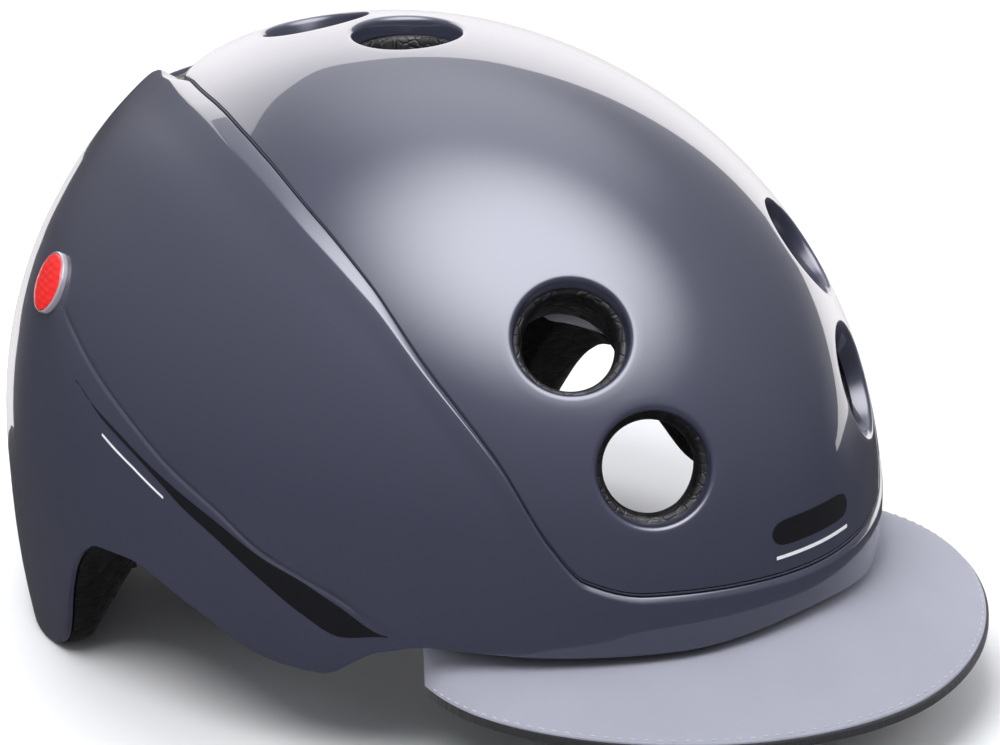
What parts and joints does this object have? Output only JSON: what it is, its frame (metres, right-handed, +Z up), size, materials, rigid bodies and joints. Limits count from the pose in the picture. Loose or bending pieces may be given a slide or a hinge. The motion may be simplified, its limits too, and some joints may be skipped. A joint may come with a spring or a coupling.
{
  "type": "cycling helmet",
  "caption": "Deep urban cycling helmet: round-vented gloss dome over a wrap-around lower shell, soft fabric peak, side reflectors, pads, straps and a dial-adjusted cradle.",
  "frame": {"origin": "centre of the bounding box's base, on the plane that the tail stands on", "axes": "+Z up as worn, wearer facing -Y, +X towards the wearer's left"},
  "size_m": [0.2126, 0.309, 0.1686],
  "materials": {
    "shell": "gloss moulded polycarbonate, dark slate grey",
    "foam": "black expanded bead foam",
    "peak_fabric": "matt lilac-grey coated fabric with a black bound edge",
    "hardware": "black moulded nylon",
    "reflector": "red reflector lens",
    "bezel": "pale thin ring",
    "pad_dark": "dark knitted pad cover",
    "pad_light": "pale knitted pad cover",
    "webbing": "black woven webbing",
    "grip_rubber": "matt soft-touch grip",
    "magnet": "plated magnet"
  },
  "bodies": {
    "helmet": {"dome_shell": "shell", "lower_shell": "shell", "foam_liner": "foam", "reflector_left": "reflector", "reflector_right": "reflector", "reflector_bezel_left": "bezel", "reflector_bezel_right": "bezel", "brow_pad": "pad_dark", "crown_pad_left": "pad_dark", "crown_pad_right": "pad_dark", "side_pad_left": "pad_light", "side_pad_right": "pad_light", "front_anchor_left": "hardware", "front_anchor_right": "hardware", "rear_anchor_left": "hardware", "rear_anchor_right": "hardware", "front_strap_left": "webbing", "front_strap_right": "webbing", "rear_strap_left": "webbing", "rear_strap_right": "webbing", "chin_strap_left": "webbing", "chin_strap_right": "webbing", "divider_left": "hardware", "divider_right": "hardware", "buckle_socket": "hardware", "buckle_socket_magnet": "magnet", "hanger_clip": "hardware"},
    "peak": {"peak": "peak_fabric", "peak_stud_left": "hardware", "peak_stud_center": "hardware", "peak_stud_right": "hardware"},
    "lever_left": {"divider_lever_left": "hardware"},
    "lever_right": {"divider_lever_right": "hardware"},
    "buckle_tongue": {"buckle_tongue": "hardware", "buckle_tongue_magnet": "magnet"},
    "cradle": {"cradle_yoke": "hardware", "cradle_hanger": "hardware", "rear_pad": "pad_dark", "dial_cover": "hardware", "dial_detent": "hardware"},
    "dial": {"dial_knob": "grip_rubber", "dial_pinion": "hardware"},
    "arm_left": {"band_arm_left": "hardware"},
    "arm_right": {"band_arm_right": "hardware"}
  },
  "joints": [
    {"name": "peak_pull_off", "type": "slide", "parent": "helmet", "child": "peak", "axis": [0, 0, -1], "range_m": [0, 0.014]},
    {"name": "divider_lever_left", "type": "hinge", "parent": "helmet", "child": "lever_left", "pos_m": [0.05331, -0.02109, 0.0944], "axis": [0.1929, 0.9117, 0.3628], "range_deg": [0, 95]},
    {"name": "divider_lever_right", "type": "hinge", "parent": "helmet", "child": "lever_right", "pos_m": [-0.05331, -0.02109, 0.0944], "axis": [0.1929, -0.9117, -0.3628], "range_deg": [0, 95]},
    {"name": "buckle_slide", "type": "slide", "parent": "helmet", "child": "buckle_tongue", "axis": [0, -0.8384, -0.545], "range_m": [0, 0.021]},
    {"name": "cradle_height", "type": "slide", "parent": "helmet", "child": "cradle", "axis": [0, 0, 1], "range_m": [0, 0.01]},
    {"name": "dial_turn", "type": "hinge", "parent": "cradle", "child": "dial", "pos_m": [0, 0.1062, 0.016], "axis": [0, 1, 0], "range_deg": [0, 99]},
    {"name": "arm_left_slide", "type": "slide", "parent": "cradle", "child": "arm_left", "axis": [-1, 0, 0], "range_m": [0, 0.008]},
    {"name": "arm_right_slide", "type": "slide", "parent": "cradle", "child": "arm_right", "axis": [1, 0, 0], "range_m": [0, 0.008]}
  ],
  "couplings": [
    {"joint": "arm_left_slide", "follows": "dial_turn", "m_per_rad": 0.0046},
    {"joint": "arm_right_slide", "follows": "dial_turn", "m_per_rad": 0.0046}
  ]
}
